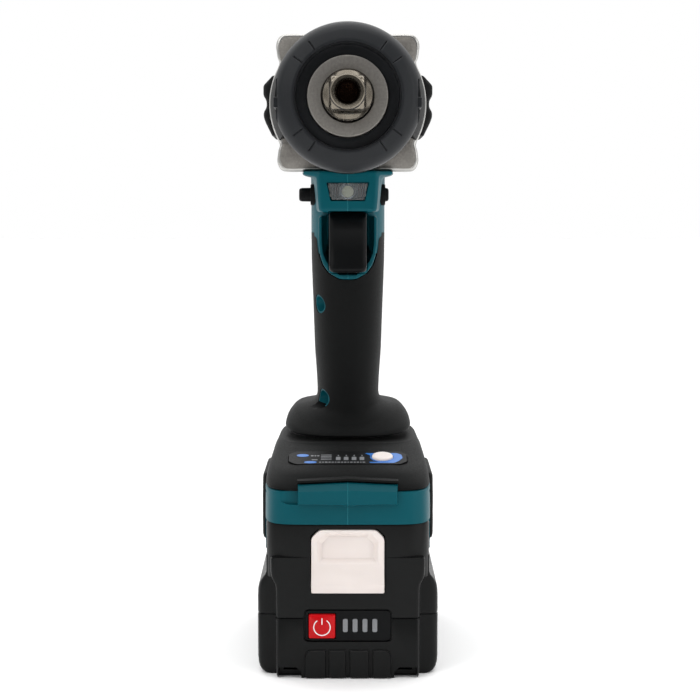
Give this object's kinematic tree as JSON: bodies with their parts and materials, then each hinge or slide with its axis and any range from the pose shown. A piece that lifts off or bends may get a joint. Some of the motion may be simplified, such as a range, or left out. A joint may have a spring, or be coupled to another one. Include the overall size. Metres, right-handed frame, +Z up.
{
  "type": "cordless impact wrench",
  "caption": "Pistol-grip cordless impact wrench with a square drive, rubber nose guard, trigger, direction lever, work lamp, control panel and slide-on battery pack.",
  "frame": {"origin": "centre of the battery pack's flat underside, on which the tool stands", "axes": "+Z up, the square drive points along -Y, X = 0 is the parting plane of the two housing halves"},
  "size_m": [0.0744, 0.17, 0.2652],
  "materials": {
    "teal_nylon": "fine moulded texture",
    "black_nylon": "fine moulded texture",
    "rubber": "soft overmould",
    "cast_aluminium": "die cast, lightly blasted",
    "steel": "ground",
    "dark_steel": "black oxide",
    "brass": "drawn",
    "white_nylon": "satin",
    "red_nylon": "satin",
    "clear_lens": "moulded clear",
    "circuit_board": "solder mask",
    "cell_sleeve": "shrink sleeve"
  },
  "bodies": {
    "tool": {"housing_left": "teal_nylon", "housing_right": "teal_nylon", "grip_left": "rubber", "grip_right": "rubber", "rear_cover": "black_nylon", "hammer_case": "cast_aluminium", "front_bumper": "rubber", "nose_bush": "brass", "ring_gear": "dark_steel", "bearing_box": "cast_aluminium", "spindle_bearing": "steel", "rotor_bearing_front": "steel", "rotor_bearing_rear": "steel", "sensor_board": "circuit_board", "stator": "dark_steel", "led_lens": "clear_lens", "led_board": "circuit_board", "switch_unit": "black_nylon", "control_panel": "black_nylon", "controller": "cast_aluminium", "terminal_block": "black_nylon", "case_screw_1": "dark_steel", "case_screw_2": "dark_steel", "case_screw_3": "dark_steel", "case_screw_4": "dark_steel", "grip_screw_1": "dark_steel", "grip_screw_2": "dark_steel", "side_pad_left": "rubber", "side_pad_right": "rubber", "side_bumper_left": "rubber", "side_bumper_right": "rubber", "trigger_spring": "steel"},
    "anvil": {"anvil": "steel", "friction_ring": "dark_steel"},
    "spindle": {"spindle": "steel", "cam_ball_1": "steel", "cam_ball_2": "steel", "hammer_spring": "dark_steel"},
    "hammer": {"hammer": "steel"},
    "planet_1": {"planet_gear_1": "dark_steel"},
    "planet_2": {"planet_gear_2": "dark_steel"},
    "rotor": {"rotor": "dark_steel", "pinion": "dark_steel", "fan": "black_nylon"},
    "trigger": {"trigger": "black_nylon"},
    "direction_lever": {"direction_lever": "black_nylon"},
    "mode_button": {"mode_button": "white_nylon"},
    "battery": {"battery_upper": "black_nylon", "battery_lower": "black_nylon", "cells_lower": "cell_sleeve", "cells_upper": "cell_sleeve", "cell_holder": "black_nylon", "bms_board": "circuit_board", "battery_terminals": "brass", "gauge_panel": "black_nylon", "release_spring": "steel"},
    "release_button": {"release_button": "white_nylon"},
    "gauge_button": {"gauge_button": "red_nylon"}
  },
  "joints": [
    {"name": "anvil_spin", "type": "hinge", "parent": "tool", "child": "anvil", "pos_m": [0, -0.102, 0.234], "axis": [0, 1, 0], "continuous": true},
    {"name": "spindle_spin", "type": "hinge", "parent": "tool", "child": "spindle", "pos_m": [0, -0.026, 0.234], "axis": [0, 1, 0], "continuous": true},
    {"name": "hammer_retract", "type": "slide", "parent": "spindle", "child": "hammer", "axis": [0, 1, 0], "range_m": [0, 0.006], "stiffness_N_per_m": 15000, "springref_m": -0.004, "deforming": ["hammer_spring"]},
    {"name": "planet_1_spin", "type": "hinge", "parent": "spindle", "child": "planet_1", "pos_m": [0.0132, -0.022, 0.234], "axis": [0, 1, 0], "continuous": true},
    {"name": "planet_2_spin", "type": "hinge", "parent": "spindle", "child": "planet_2", "pos_m": [-0.0132, -0.022, 0.234], "axis": [0, 1, 0], "continuous": true},
    {"name": "rotor_spin", "type": "hinge", "parent": "tool", "child": "rotor", "pos_m": [0, 0.009, 0.234], "axis": [0, 1, 0], "continuous": true},
    {"name": "trigger_pull", "type": "slide", "parent": "tool", "child": "trigger", "axis": [0, 1, 0], "range_m": [0, 0.007], "stiffness_N_per_m": 1200, "springref_m": -0.003, "deforming": ["trigger_spring"]},
    {"name": "direction_slide", "type": "slide", "parent": "tool", "child": "direction_lever", "axis": [1, 0, 0], "range_m": [0, 0.0034]},
    {"name": "mode_press", "type": "slide", "parent": "tool", "child": "mode_button", "axis": [0, 0.2272, -0.9738], "range_m": [0, 0.0008], "stiffness_N_per_m": 900, "springref_m": -0.0006},
    {"name": "battery_slide", "type": "slide", "parent": "tool", "child": "battery", "axis": [0, -1, 0], "range_m": [0, 0.12]},
    {"name": "release_press", "type": "slide", "parent": "battery", "child": "release_button", "axis": [0, 0, -1], "range_m": [0, 0.005], "stiffness_N_per_m": 600, "springref_m": -0.003, "deforming": ["release_spring"]},
    {"name": "gauge_press", "type": "slide", "parent": "battery", "child": "gauge_button", "axis": [0, 1, 0], "range_m": [0, 0.0008], "stiffness_N_per_m": 900, "springref_m": -0.0006}
  ],
  "couplings": [
    {"joint": "spindle_spin", "follows": "anvil_spin", "ratio": 1},
    {"joint": "rotor_spin", "follows": "anvil_spin", "ratio": 5.5},
    {"joint": "planet_1_spin", "follows": "anvil_spin", "ratio": -2.5714},
    {"joint": "planet_2_spin", "follows": "anvil_spin", "ratio": -2.5714}
  ]
}
